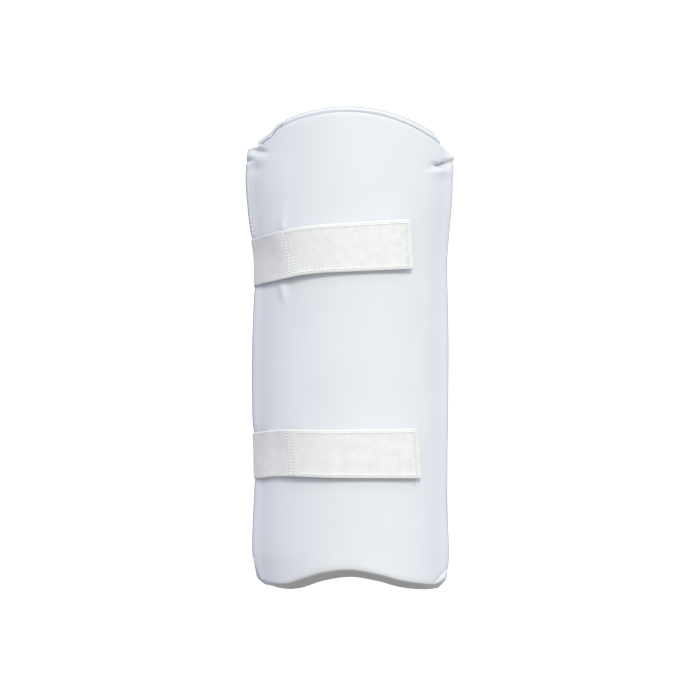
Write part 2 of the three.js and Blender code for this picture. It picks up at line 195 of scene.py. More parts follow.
# The straps: where the middle line lies, how far right the free end reaches, and how far from it the
# stitched seam is. The slant runs from the free end to the sewn end: the places as shares of the strap's
# length, its shift as a share of the strap's width, and how far it stands off the cover in millimetres.
UPPER = {
    "name": "upper",
    "place": 54.3,
    "reach": 32.9,
    "seam": 69.4,
    "slant": {
        "at": [0.0, 0.165, 0.235, 0.3, 0.34, 0.39, 0.465, 0.54, 1.0],
        "shift": [0.105, 0.03, -0.005, -0.068, -0.134, -0.2, -0.285, -0.37, -0.6],
        "raised": [0.7, 0.0, 0.4, 1.0, 0.9, 0.4, 0.0, 0.0, 0.0],
    },
}
LOWER = {
    "name": "lower",
    "place": -57.4,
    "reach": 37.6,
    "seam": 75.0,
    "slant": {
        "at": [0.0, 0.17, 0.25, 0.33, 0.4, 0.47, 1.0],
        "shift": [0.005, 0.0, 0.0, 0.017, 0.0, -0.045, -0.05],
        "raised": [0.1, 0.0, 0.3, 0.4, 0.2, 0.0, 0.0],
    },
}


def read(table, place, column):
    """A smooth curve through a table's rows."""
    at = np.array(table["at"], dtype=float)
    value = np.array(table[column], dtype=float)
    slope = np.empty_like(value)
    slope[1:-1] = (value[2:] - value[:-2]) / (at[2:] - at[:-2])
    slope[0] = (value[1] - value[0]) / (at[1] - at[0])
    slope[-1] = (value[-1] - value[-2]) / (at[-1] - at[-2])
    place = np.clip(place, at[0], at[-1])
    low = np.clip(np.searchsorted(at, place) - 1, 0, len(at) - 2)
    span = at[low + 1] - at[low]
    share = (place - at[low]) / span
    ease = share * share * (3 - 2 * share)
    leave = share * (1 - share) ** 2 * span * slope[low]
    arrive = share * share * (share - 1) * span * slope[low + 1]
    return value[low] + (value[low + 1] - value[low]) * ease + leave + arrive


def stretched_x(x, y):
    """Where the outline puts a bare section's x."""
    width = read(OUTLINE, y / HALF_LENGTH, "width")
    return x * width + HALF_WAIST * read(OUTLINE, y / HALF_LENGTH, "sway")


def bare_x(x, y):
    """The bare section's x that the outline stretches to x."""
    width = read(OUTLINE, y / HALF_LENGTH, "width")
    return (x - HALF_WAIST * read(OUTLINE, y / HALF_LENGTH, "sway")) / width


def on_guard(x, z, y):
    """A place of a bare section, with its height from the arc's centre, as a point of the guard."""
    return np.stack(np.broadcast_arrays(stretched_x(x, y), y, z + ARC_HEIGHT), axis=-1)


def thickness_at(turn):
    """The foam's thickness, from its crown to its sides."""
    share = np.minimum(np.abs(turn) / WRAP, 1)
    return SIDE_THICKNESS + (PAD_THICKNESS - SIDE_THICKNESS) * np.cos(share * math.pi / 2) ** 2


def side_of(row):
    """The radius of a row's rounded side, and the reach of its centre."""
    loss = SIDE_THICKNESS - END_THICKNESS
    side_round = (SIDE_THICKNESS - (row["sunk"] + row["raised"]) * loss) / 2
    return side_round, PAD_RADIUS - row["sunk"] * loss - side_round


def front_point(turn, lift, row):
    """The front face, which runs past the wrap angle round the side."""
    held = np.clip(turn, -WRAP, WRAP)
    side_round, reach = side_of(row)
    reach = reach - row["sunk"] * (thickness_at(held) - SIDE_THICKNESS)
    side_round = side_round + lift
    x = reach * np.sin(held) + side_round * np.sin(turn)
    z = reach * np.cos(held) + side_round * np.cos(turn)
    return x, z


def back_point(share, inset, row):
    """The back face, from seam to seam across the hollow."""
    hand = np.where(share < 0, -1.0, 1.0)
    past = (np.abs(share) - BACK_ARC_SHARE) / (1 - BACK_ARC_SHARE)
    side_round, reach = side_of(row)
    side_turn = hand * (math.pi + WRAP - past * (math.pi / 2 + WRAP))
    side_x = reach * hand * math.sin(WRAP) + (side_round - inset) * np.sin(side_turn)
    side_z = reach * math.cos(WRAP) + (side_round - inset) * np.cos(side_turn)
    turn = share / BACK_ARC_SHARE * WRAP
    thickness = thickness_at(turn)
    arc_reach = PAD_RADIUS - thickness + row["raised"] * (thickness - END_THICKNESS) + inset
    x = np.where(past > 0, side_x, arc_reach * np.sin(turn))
    z = np.where(past > 0, side_z, arc_reach * np.cos(turn))
    return x, z


def arch_height(across):
    """The y of the elbow end's edge, at a share of the half waist."""
    offset = across * HALF_WAIST - ARCH_SHIFT
    rise = np.sqrt(np.maximum(ARCH_RADIUS**2 - offset**2, 0))
    return HALF_LENGTH - ARCH_RADIUS + rise - SHOULDER_DROP * read(ELBOW, across, "drop")


def hem_inset(across):
    """How far along y the hem's inner line lies from the edge, so that the hem keeps its width."""
    step = 0.01
    slope = (arch_height(across + step) - arch_height(across - step)) / (2 * step * HALF_WAIST)
    lean = np.minimum(np.abs(slope), STEEPEST_HEM)
    return HEM_WIDTH * read(ELBOW, across, "hem") * np.hypot(1, lean)


def elbow_height(across):
    """The y of the hem's inner line."""
    return arch_height(across) - hem_inset(across)


def wrist_height(across):
    """The y of the wrist end's edge."""
    return -HALF_LENGTH + WRIST_NOTCH * read(WRIST, across, "rise")


def wrist_inset(across, share):
    """How far up a share of the wrist end's bevel reaches."""
    return share * WRIST_BEVEL * read(WRIST, across, "bevel")


def wrist_row(inset):
    """A row of points near the wrist end."""
    return {
        "sunk": read(WRIST_CLOSE, inset, "sunk"),
        "raised": 0.0,
        "height": lambda across: wrist_height(across) + wrist_inset(across, inset),
    }


def elbow_row(inset):
    """A row of points near the elbow end."""
    return {
        "sunk": read(ELBOW_CLOSE, inset, "sunk"),
        "raised": read(ELBOW_CLOSE, inset, "raised"),
        "height": lambda across: elbow_height(across) - inset * END_ROUND,
    }


def body_row(share, first, last):
    """A row between the two ends, this share of the way."""

    def height(across):
        low = first["height"](across)
        return low + (last["height"](across) - low) * share

    return {"sunk": 0.0, "raised": 0.0, "height": height}


def pad_rows(end_steps, steps):
    """The rows of points from the wrist's edge to the elbow's. Each step says where it stops, as a share
    of the body's length, and how many rows it has."""
    wrist = [wrist_row(inset) for inset in np.linspace(0, WRIST_CLOSE["at"][-1], end_steps)]
    elbow = [elbow_row(inset) for inset in np.linspace(1, 0, end_steps)]
    shares = []
    start = 0.0
    for stop, count in steps:
        shares.extend(np.linspace(start, stop, count + 1)[1:])
        start = stop
    body = [body_row(share, wrist[-1], elbow[0]) for share in shares[:-1]]
    return wrist + body + elbow


def distance_to_line(x, y, line):
    """The distance to a line of places, and how near its middle the nearest point is."""
    points = [(u * HALF_WAIST, v * HALF_LENGTH) for u, v in line]
    nearest = np.full(np.shape(x), np.inf)
    along = np.zeros(np.shape(x))
    for index, (start, end) in enumerate(zip(points, points[1:])):
        step_x = end[0] - start[0]
        step_y = end[1] - start[1]
        share = ((x - start[0]) * step_x + (y - start[1]) * step_y) / (step_x**2 + step_y**2)
        share = np.clip(share, 0, 1)
        distance = np.hypot(x - start[0] - share * step_x, y - start[1] - share * step_y)
        closer = distance < nearest
        nearest = np.where(closer, distance, nearest)
        along = np.where(closer, (index + share) / (len(points) - 1), along)
    return nearest, np.sin(math.pi * np.clip(along, 0.06, 0.94))


def slack(x, y):
    """The shallow unevenness of a stretched cover over foam."""
    waves = 0.10 * np.sin(x / 17 + 1.3 * np.sin(y / 41)) * np.cos(y / 29 + 0.7)
    return waves + 0.06 * np.sin(y / 13 + x / 23) * np.cos(x / 11 - y / 37)


def strap_dent(x, y):
    """Where both straps pull the left side in."""
    depth = 0.0
    for strap in (UPPER, LOWER):
        centre = course(strap, side_distance(strap))
        near_edge = np.exp(-(((x + HALF_WAIST) / 9) ** 4))
        depth = depth + STRAP_PULL * near_edge * np.exp(-(((y - centre) / (0.53 * STRAP_WIDTH)) ** 8))
    return depth


def dent_at(x, y):
    """How deep the front lies under its smooth form."""
    depth = slack(x, y) + strap_dent(x, y)
    for dent in DENTS:
        lean = math.radians(dent["lean"])
        right = x - dent["x"] * HALF_WAIST
        up = y - dent["y"] * HALF_LENGTH
        along = (right * math.cos(lean) + up * math.sin(lean)) / (dent["long"] * STRAP_WIDTH)
        beside = (up * math.cos(lean) - right * math.sin(lean)) / (dent["broad"] * STRAP_WIDTH)
        depth = depth + CREASE_DEPTH * dent["depth"] * np.exp(-(along**2) - beside**2)
    for crease in CREASES:
        distance, taper = distance_to_line(x, y, crease["line"])
        depth = depth + crease["depth"] * taper * np.exp(-((distance / crease["broad"]) ** 2))
    return depth


def pad_grid(rows, places, guide, point_of):
    """A grid of points on a face of the shell. The guide places each along the guard."""
    grid = np.empty((len(rows), len(places), 3))
    for index, row in enumerate(rows):
        bare = guide(places, row)[0]
        x = stretched_x(bare, row["height"](bare / HALF_WAIST))
        y = row["height"](x / HALF_WAIST)
        grid[index] = on_guard(*point_of(places, row, dent_at(x, y)), y)
    return grid


def edge_lift(turn):
    """The shallow valley beside the turned-up edge of both long sides."""
    past = np.abs(turn) - VALLEY_TURN
    return -VALLEY_DEPTH * np.exp(-((past / np.where(past > 0, VALLEY_OUTER, VALLEY_INNER)) ** 2))


def shell_front(turn, row, dent=0.0):
    """The cover's front face."""
    return front_point(turn, edge_lift(turn) - dent, row)


def shell_back(share, row, dent=0.0):
    """The foam's back face, which leaves room for the lining. No dent of the front reaches it."""
    return back_point(share, LINING_THICKNESS + CLEARANCE, row)


def add_mesh(name, points, faces, material, slot, uv=None, sharp=40):
    """One smooth mesh from points in millimetres, with its material; its slot argument is not used."""
    mesh = bpy.data.meshes.new(name)
    mesh.from_pydata((np.asarray(points) * MM).tolist(), [], [list(face) for face in faces])
    mesh.polygons.foreach_set("use_smooth", [True] * len(mesh.polygons))
    if uv is not None:
        corners = np.empty(len(mesh.loops), dtype=np.int32)
        mesh.loops.foreach_get("vertex_index", corners)
        layer = mesh.uv_layers.new(name="cloth")
        layer.data.foreach_set("uv", (np.asarray(uv)[corners] * MM).ravel())
    mesh.update()
    mesh.set_sharp_from_angle(angle=math.radians(sharp))
    mesh.materials.append(material)
    piece = bpy.data.objects.new(name, mesh)
    bpy.context.scene.collection.objects.link(piece)
    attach(piece, "root")
    return piece


def solid_between(upper, lower):
    """The points and faces of one closed solid between two grids, joined round their edges."""
    rows, columns = upper.shape[:2]
    points = np.concatenate([upper.reshape(-1, 3), lower.reshape(-1, 3)])
    index = np.arange(rows * columns).reshape(rows, columns)
    under = rows * columns
    a = index[:-1, :-1].ravel()
    b = index[1:, :-1].ravel()
    c = index[1:, 1:].ravel()
    d = index[:-1, 1:].ravel()
    top = np.stack([a, b, c, d], axis=1)
    bottom = np.stack([d, c, b, a], axis=1) + under
    rim = np.concatenate([index[:-1, 0], index[-1, :-1], index[:0:-1, -1], index[0, :0:-1]])
    following = np.roll(rim, -1)
    edge = np.stack([following, rim, rim + under, following + under], axis=1)
    faces = np.concatenate([top, bottom, edge])
    corner = points[faces]
    turned = np.cross(corner[:, 2] - corner[:, 0], corner[:, 3] - corner[:, 1])
    if np.sum(corner.mean(axis=1) * turned) < 0:
        faces = faces[:, ::-1]
    return points, faces


def bump(material, height, distance):
    """Relief of this many millimetres."""
    nodes = material.node_tree.nodes
    links = material.node_tree.links
    node = nodes.new("ShaderNodeBump")
    node.inputs["Distance"].default_value = distance * MM
    links.new(height, node.inputs["Height"])
    links.new(node.outputs["Normal"], nodes["Principled BSDF"].inputs["Normal"])


def math_node(material, operation, first, second):
    """Two values joined by an operation, each a socket or a number."""
    node = material.node_tree.nodes.new("ShaderNodeMath")
    node.operation = operation
    for socket, value in zip(node.inputs, (first, second)):
        if isinstance(value, bpy.types.NodeSocket):
            material.node_tree.links.new(value, socket)
        else:
            socket.default_value = value
    return node.outputs[0]


def noise(material, vector, size, detail=2.0):
    """Noise with patches of about this many millimetres."""
    node = material.node_tree.nodes.new("ShaderNodeTexNoise")
    node.inputs["Scale"].default_value = 1 / (size * MM)
    node.inputs["Detail"].default_value = detail
    material.node_tree.links.new(vector, node.inputs["Vector"])
    return node.outputs["Fac"]


def bands(material, vector, direction, pitch, distortion=0.0):
    """Bands across a direction, this many millimetres apart."""
    node = material.node_tree.nodes.new("ShaderNodeTexWave")
    node.bands_direction = direction
    node.inputs["Scale"].default_value = math.pi / (10 * pitch * MM)
    node.inputs["Distortion"].default_value = distortion
    node.inputs["Detail"].default_value = 1.0
    material.node_tree.links.new(vector, node.inputs["Vector"])
    return node.outputs["Fac"]


def cloth(name, light, dark, roughness, sheen, mottle, tint=(1.0, 1.0, 1.0)):
    """A fabric whose colour drifts between two tones, in patches of this many millimetres."""
    material = bpy.data.materials.new(name)
    material.use_nodes = True
    nodes = material.node_tree.nodes
    links = material.node_tree.links
    shader = nodes["Principled BSDF"]
    shader.inputs["Roughness"].default_value = roughness
    shader.inputs["Sheen Weight"].default_value = sheen
    shader.inputs["Sheen Roughness"].default_value = 0.45
    shader.inputs["Sheen Tint"].default_value = (*tint, 1)
    shader.inputs["Specular IOR Level"].default_value = 0.25
    coords = nodes.new("ShaderNodeTexCoord")
    ramp = nodes.new("ShaderNodeValToRGB")
    ramp.color_ramp.elements[0].position = 0.3
    ramp.color_ramp.elements[0].color = (*dark, 1)
    ramp.color_ramp.elements[1].position = 0.7
    ramp.color_ramp.elements[1].color = (*light, 1)
    links.new(noise(material, coords.outputs["Object"], mottle), ramp.inputs["Fac"])
    links.new(ramp.outputs["Color"], shader.inputs["Base Color"])
    return material, coords


def cover_cloth():
    """Smooth stretch knit: very fine wales along the guard and a soft grain."""
    material, coords = cloth(
        "cover_knit",
        light=(0.685, 0.7, 0.725),
        dark=(0.665, 0.68, 0.705),
        roughness=0.62,
        sheen=0.8,
        mottle=34,
        tint=(0.85, 0.88, 1.0),
    )
    wales = bands(material, coords.outputs["Object"], "X", 0.55, 3.0)
    grain = noise(material, coords.outputs["Object"], 1.4, 4.0)
    bump(material, math_node(material, "MULTIPLY", wales, grain), 0.03)
    paint_wrist_face_shade(material, coords)
    return material


def paint_wrist_face_shade(material, coords):
    """The wrist end's bevelled face, which turns away from the light, takes a darker, warmer white than
    the front: painted shade.
    """
    nodes = material.node_tree.nodes
    links = material.node_tree.links
    facing = nodes.new("ShaderNodeSeparateXYZ")
    links.new(coords.outputs["Normal"], facing.inputs["Vector"])
    wrist_shade_mask = nodes.new("ShaderNodeMapRange")
    wrist_shade_mask.interpolation_type = "SMOOTHSTEP"
    wrist_shade_mask.inputs["From Min"].default_value = -0.35
    wrist_shade_mask.inputs["From Max"].default_value = -0.7
    links.new(facing.outputs["Y"], wrist_shade_mask.inputs["Value"])
    along = nodes.new("ShaderNodeSeparateXYZ")
    links.new(coords.outputs["Object"], along.inputs["Vector"])
    at_wrist = math_node(material, "LESS_THAN", along.outputs["Y"], -0.4 * GUARD_LENGTH * MM)
    tone = nodes.new("ShaderNodeMix")
    tone.data_type = "RGBA"
    factor, front_colour, painted_shade_colour = tone.inputs[0], tone.inputs[6], tone.inputs[7]
    # painted shade: a darker, warmer white on the faces turned toward the wrist end
    painted_shade_colour.default_value = (0.6, 0.585, 0.55, 1)
    shader = nodes["Principled BSDF"]
    links.new(math_node(material, "MULTIPLY", wrist_shade_mask.outputs["Result"], at_wrist), factor)
    links.new(shader.inputs["Base Color"].links[0].from_socket, front_colour)
    links.new(tone.outputs[2], shader.inputs["Base Color"])


def lining_cloth():
    """Matte brushed lining with a visible plain weave."""
    material, coords = cloth(
        "lining_weave",
        light=(0.7, 0.71, 0.73),
        dark=(0.66, 0.67, 0.7),
        roughness=0.85,
        sheen=0.3,
        mottle=26,
    )
    warp = bands(material, coords.outputs["Object"], "X", 0.8, 0.6)
    weft = bands(material, coords.outputs["Object"], "Y", 0.8, 0.6)
    bump(material, math_node(material, "MULTIPLY", warp, weft), 0.14)
    return material


def elastic_cloth():
    """Woven elastic: fine yarns along the strap over its ribs, with a little fuzz."""
    material, coords = cloth(
        "elastic_weave",
        light=(0.787, 0.787, 0.769),
        dark=(0.737, 0.737, 0.719),
        roughness=0.8,
        sheen=0.05,
        mottle=5,
    )
    yarns = bands(material, coords.outputs["UV"], "Y", 0.55, 1.0)
    fuzz = noise(material, coords.outputs["UV"], 0.5, 3.0)
    bump(material, math_node(material, "ADD", yarns, fuzz), 0.09)
    return material


def tape_cloth():
    """Matte tape with the fine relief of its hooks."""
    material, coords = cloth(
        "hook_tape_weave",
        light=(0.7, 0.7, 0.68),
        dark=(0.62, 0.62, 0.6),
        roughness=0.9,
        sheen=0.1,
        mottle=3,
    )
    hooks = noise(material, coords.outputs["Object"], 0.7, 1.0)
    bump(material, hooks, 0.2)
    return material


def thread_cloth():
    """White sewing thread with its twist."""
    material, coords = cloth(
        "sewing_thread",
        light=(0.93, 0.94, 0.94),
        dark=(0.88, 0.89, 0.89),
        roughness=0.55,
        sheen=0.2,
        mottle=2,
    )
    bump(material, bands(material, coords.outputs["Object"], "DIAGONAL", 0.35), 0.04)
    return material


def seam_shade_cloth():
    """The dull grey of the seam's cord: painted shade for the dark line along the outline."""
    material, coords = cloth(
        "seam_shade_cord",
        light=(0.27, 0.27, 0.28),
        dark=(0.22, 0.22, 0.23),
        roughness=0.8,
        sheen=0.1,
        mottle=2,
    )
    bump(material, bands(material, coords.outputs["Object"], "Y", 0.8), 0.06)
    return material


COVER = cover_cloth()
LINING = lining_cloth()
ELASTIC = elastic_cloth()
TAPE = tape_cloth()
YARN = thread_cloth()
SEAM_SHADE = seam_shade_cloth()


def make_cover():
    """The foam in its sewn front cover, with every pucker and crease."""
    rows = pad_rows(14, [(0.1, 26), (0.58, 56), (1.0, 150)])
    turns = np.concatenate([
        np.linspace(-math.pi / 2, -WRAP, 15)[:-1],
        np.linspace(-WRAP, WRAP, 116),
        np.linspace(WRAP, math.pi / 2, 15)[1:],
    ])
    shares = back_shares(1.0, 10, len(turns))
    front = pad_grid(rows, turns, shell_front, shell_front)
    back = pad_grid(rows, shares, shell_back, shell_back)
    piece = add_mesh("front_cover", *solid_between(front, back), COVER, "cover", sharp=50)
    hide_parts("padded_shell")
    return piece


def back_shares(seam, side_count, total):
    """The places across the back face: over its middle arc, and on each side from there to the seam."""
    middle = total - 2 * side_count
    return np.concatenate([
        np.linspace(-seam, -BACK_ARC_SHARE, side_count, endpoint=False),
        np.linspace(-BACK_ARC_SHARE, BACK_ARC_SHARE, middle),
        np.linspace(seam, BACK_ARC_SHARE, side_count, endpoint=False)[::-1],
    ])


def make_lining():
    """The cloth of the hollow, turned up to the seam at both long sides."""
    rows = pad_rows(8, [(0.58, 60), (1.0, 60)])
    gap_turn = CLEARANCE / (SIDE_ROUND - LINING_THICKNESS)
    seam = 1 - (1 - BACK_ARC_SHARE) * gap_turn / (math.pi / 2 + WRAP)
    shares = back_shares(seam, 12, 84)

    def face(inset, pull):
        def point(share, row, dent):
            pleats = pull * 0.12 * np.cos(dent * 9 + share * 40)
            return back_point(share, inset + pleats, row)

        return pad_grid(rows, shares, shell_back, point)

    inner = face(LINING_THICKNESS, 0)
    outer = face(0.1, 1)
    piece = add_mesh("inner_lining", *solid_between(inner, outer), LINING, "lining_cloth", sharp=50)
    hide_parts("lining")
    return piece


def arc_point(x, y, lift):
    """A place on the front arc, this far above its face, and the direction away from it."""
    bare = bare_x(x, y)
    radius = PAD_RADIUS + lift
    z = np.sqrt(radius**2 - bare**2)
    normal = np.stack([bare / radius, np.zeros_like(bare), z / radius], axis=-1)
    return on_guard(bare, z, y), normal


def make_hem():
    """The flat sewn lip of the elbow end: a rounded edge, a groove inside it, and a fold at the left."""
    across = np.linspace(HEM_LEFT, HEM_RIGHT, 260)[:, None]
    share = np.linspace(0, 1, 17)[None, :]
    folded = np.clip((FOLD_START - across) / 0.05, 0, 1)
    inner = elbow_height(across) - HEM_TUCK + (HEM_TUCK + FOLD_GAP) * folded
    y = inner + (arch_height(across) - inner) * share
    groove = HEM_GROOVE * np.exp(-((share / 0.3) ** 2)) * (1 - folded)
    roll = HEM_ROLL * np.clip((share - 0.55) / 0.45, 0, 1) ** 3
    ripple = 0.1 * np.sin(across * 60) * (1 - share)
    sink = SIDE_THICKNESS * read(ELBOW, across, "sink")
    x = across * HALF_WAIST
    top, _ = arc_point(x, y, -(sink + HEM_CROWN + groove + roll + ripple))
    bottom, _ = arc_point(x, y, -(sink + HEM_DEPTH - 0.5 * roll))
    piece = add_mesh("elbow_hem", *solid_between(top, bottom), COVER, "cover", sharp=60)
    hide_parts("top_hem")
    return piece


def course(strap, distance):
    """The height of a strap's middle line, this far from its free end."""
    length = strap_way(strap["reach"])[1]
    return strap["place"] + STRAP_WIDTH * read(strap["slant"], distance / length, "shift")


def side_distance(strap):
    """The distance from a strap's free end to the guard's left outline."""
    stretches = strap_way(strap["reach"])[0]
    return stretches[1]["start"] + (math.pi / 2 - WRAP) * (SIDE_ROUND + PAD_REST)


def strap_way(reach):
    """A strap's way over the front, round the left side, under the hollow, to its sewn end."""
    start_turn = math.asin(reach / (PAD_RADIUS + PAD_REST))
    bend = SIDE_ROUND + PAD_REST
    stretches = [
        {"length": (start_turn + WRAP) * (PAD_RADIUS + PAD_REST), "from": start_turn, "to": -WRAP},
        {"length": (math.pi - WRAP) * bend, "from": -WRAP, "to": -math.pi},
        {"length": 2 * SIDE_REACH * math.sin(WRAP), "from": -math.pi, "to": math.pi},
        {"length": (math.pi - SEWN_TURN) * bend, "from": math.pi, "to": SEWN_TURN},
    ]
    start = 0.0
    for stretch in stretches:
        stretch["start"] = start
        start += stretch["length"]
    return stretches, start


def way_point(stretches, distance, y, lift):
    """A place on a strap's way: its distance from the free end, its y, and its lift above the cover."""
    distance, y, lift = np.broadcast_arrays(distance, y, lift)
    x = np.zeros(distance.shape)
    z = np.zeros(distance.shape)
    for index, stretch in enumerate(stretches):
        here = distance >= stretch["start"] if index else np.full(distance.shape, True)
        share = np.minimum((distance - stretch["start"]) / stretch["length"], 1)
        if stretch["from"] == -math.pi:
            start_x, start_z = front_point(-math.pi, lift, OPEN_ROW)
            end_x, end_z = front_point(math.pi, lift, OPEN_ROW)
            here_x = start_x + (end_x - start_x) * share
            here_z = start_z + (end_z - start_z) * share
        else:
            turn = stretch["from"] + (stretch["to"] - stretch["from"]) * share
            here_x, here_z = front_point(turn, lift, OPEN_ROW)
        x = np.where(here, here_x, x)
        z = np.where(here, here_z, z)
    return on_guard(x, z, y)


def strap_point(strap, distance, beside, lift):
    """A place on a strap: distance from its free end, beside its middle, and lift above the cover."""
    stretches, length = strap_way(strap["reach"])
    lift = lift + read(strap["slant"], distance / length, "raised")
    toward_edge = np.abs(beside) / (STRAP_WIDTH / 2)
    pull = STRAP_PULL * (0.25 + 0.75 * toward_edge**2)
    pull = pull * np.exp(-(((distance - side_distance(strap)) / PULL_REACH) ** 4))
    beside = beside * (1 + STRAP_FLARE * np.clip(1 - distance / FLARE_LENGTH, 0, 1))
    y = course(strap, distance) + beside
    return way_point(stretches, distance + STRAP_LEAN * beside, y, lift - pull)


def under_lift(distance):
    """How far a strap's underside lies above the cover: over the hook tape, then down to the cover."""
    start = TAPE_MARGIN + TAPE_LENGTH
    share = np.clip((distance - start) / SOFT_RAMP, 0, 1)
    share = share * share * (3 - 2 * share)
    return TAPE_LIFT + (CLEARANCE - TAPE_LIFT) * share


def fall_away(depth, nearness):
    """How far a rounded edge falls away: the whole depth at a nearness of 1, nothing at 0."""
    return depth * (1 - np.sqrt(np.clip(1 - nearness**2, 0, 1)))


def strap_relief(strap, distance, from_edge):
    """The relief of a strap's face: its ribs, its raised selvages, and where its seams press it down."""
    ribbed = np.clip((from_edge - SELVAGE) / 0.6, 0, 1)
    ribs = RIB_HEIGHT * ribbed * (np.cos(2 * math.pi * distance / RIB_PITCH) - 1)
    selvage = SELVAGE_RISE * np.exp(-(((from_edge - 0.75) / 0.5) ** 2))
    pressed = 0.06 * np.exp(-(((distance - strap["seam"]) / 2.6) ** 4))
    pressed = pressed + 0.08 * np.exp(-(((distance - 3.6) / 1.4) ** 2)) * ribbed
    return ribs + selvage - pressed


def make_strap(strap):
    """Ribbed elastic with smooth raised selvages and a pressed, stitched free end."""
    length = strap_way(strap["reach"])[1]
    distance = np.arange(0, length, RIB_PITCH / 4)[:, None]
    half = STRAP_WIDTH / 2
    edge = np.array([0, 0.15, 0.45, SELVAGE, 0.95])
    beside = np.concatenate([
        -half + edge,
        np.linspace(-half + 2.4, half - 2.4, 11),
        (half - edge)[::-1],
    ])
    beside = beside[None, :]
    from_edge = half - np.abs(beside)
    edge_round = fall_away(0.5 * STRAP_THICKNESS, np.clip(1 - from_edge / STRAP_ROUND, 0, 1))
    end_round = fall_away(0.4 * STRAP_THICKNESS, np.clip(1 - distance / 0.8, 0, 1))
    under = under_lift(distance) + edge_round + end_round
    over = under_lift(distance) + STRAP_THICKNESS - SELVAGE_RISE - edge_round - end_round
    cut = fall_away(STRAP_CORNER, np.clip(1 - from_edge / STRAP_CORNER, 0, 1))
    along = distance + cut * np.clip(1 - distance / 8, 0, 1)
    upper = strap_point(strap, along, beside, over + strap_relief(strap, distance, from_edge))
    lower = strap_point(strap, along, beside, under)
    uv = np.stack(np.broadcast_arrays(distance, beside), axis=-1).reshape(-1, 2)
    uv = np.concatenate([uv, uv])
    name = strap["name"] + "_elastic"
    piece = add_mesh(name, *solid_between(upper, lower), ELASTIC, "elastic", uv=uv, sharp=55)
    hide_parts(strap["name"] + "_strap")
    return piece


def make_tape(strap):
    """The hook tape under the strap's front stretch, with rounded edges."""
    distance = np.linspace(TAPE_MARGIN, TAPE_MARGIN + TAPE_LENGTH, 120)[:, None]
    half = STRAP_WIDTH / 2 - TAPE_MARGIN
    beside = np.concatenate([
        [-half, -half + 0.1, -half + 0.4],
        np.linspace(-half + 1, half - 1, 15),
        [half - 0.4, half - 0.1, half],
    ])
    beside = beside[None, :]
    edge_round = fall_away(0.4, np.clip(1 - (half - np.abs(beside)) / 0.4, 0, 1))
    upper = strap_point(strap, distance, beside, CLEARANCE + TAPE_THICKNESS - edge_round)
    lower = strap_point(strap, distance, beside, CLEARANCE + edge_round)
    name = strap["name"] + "_hooks"
    piece = add_mesh(name, *solid_between(upper, lower), TAPE, "hook_tape", sharp=60)
    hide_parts(strap["name"] + "_hook_tape")
    return piece


def ring_faces(first, rings, corners):
    """The faces of a closed tube, whose rings of points are numbered on from the first."""
    faces = []
    for ring in range(rings - 1):
        for corner in range(corners):
            a = first + ring * corners + corner
            b = first + ring * corners + (corner + 1) % corners
            faces.append((a, b, b + corners, a + corners))
    last = first + (rings - 1) * corners
    faces.append(tuple(first + corner for corner in reversed(range(corners))))
    faces.append(tuple(last + corner for corner in range(corners)))
    return faces


def add_stitches(name, rows, slot, thread):
    """Stitches from rows of a start, an end and a direction away from the cloth, each a thread of this
    radius that rises from the cloth and dives back."""
    shares = np.array([0.0, 0.18, 0.5, 0.82, 1.0])
    rises = np.array([-1.1, 0.1, 0.7, 0.1, -1.1]) * thread
    corners = 6
    starts, ends, normals = (np.asarray(one) for one in zip(*rows))
    run = ends - starts
    centres = starts[:, None] + run[:, None] * shares[None, :, None]
    centres = centres + normals[:, None] * rises[None, :, None]
    side = np.cross(run, normals)
    side = side / np.linalg.norm(side, axis=1, keepdims=True)
    angles = np.arange(corners) * math.pi / 3
    ring = (
        normals[:, None, None] * np.cos(angles)[None, None, :, None]
        + side[:, None, None] * np.sin(angles)[None, None, :, None]
    )
    points = centres[:, :, None] + thread * ring
    faces = []
    for stitch in range(len(rows)):
        faces.extend(ring_faces(stitch * len(shares) * corners, len(shares), corners))
    return add_mesh(name, points.reshape(-1, 3), faces, YARN, slot, sharp=80)


def make_strap_stitches(strap):
    """The rows that hold the hook tape: along both edges, a ladder at the free end, and slant rows
    behind."""
    half = STRAP_WIDTH / 2
    row_edge = half - 1.8
    ladder_start = 2.5
    ladder_end = 4.6
    segments = []
    for edge in (-row_edge, row_edge):
        along = np.arange(ladder_start + 1, TAPE_LENGTH - 1, 1.25 * STITCH)
        segments.extend(((at, edge), (at + STITCH, edge)) for at in along)
    for at in np.arange(-row_edge, row_edge, 1.2):
        segments.append(((ladder_start, at), (ladder_end, at + 0.2)))
    for at in np.arange(-half + 1.2, half - 1.6, STITCH):
        for column, long in ((2.3, 1.3), (-1.0, 0.8)):
            start = strap["seam"] + column
            segments.append(((start, at), (start - long, at + 0.6)))
    places = np.array(segments)
    lift = under_lift(places[..., 0]) + STRAP_THICKNESS + 0.04
    points = strap_point(strap, places[..., 0], places[..., 1], lift)
    higher = strap_point(strap, places[..., 0], places[..., 1], lift + 1)
    normals = (higher - points).mean(axis=1)
    normals = normals / np.linalg.norm(normals, axis=1, keepdims=True)
    rows = list(zip(points[:, 0], points[:, 1], normals))
    return add_stitches(strap["name"] + "_stitches", rows, "elastic", STRAP_THREAD)


def make_loose_thread():
    """The small loop of thread left at the lower strap's corner."""
    centre_x = 35.2
    centre_y = -72.5
    turn = np.radians(np.linspace(150, 400, 22))
    path, _ = arc_point(centre_x + 1.1 * np.cos(turn), centre_y + 1.3 * np.sin(turn), 0.5)
    return add_mesh("loose_thread", *tube(path, SIDE_THREAD, 0), YARN, "elastic", sharp=80)


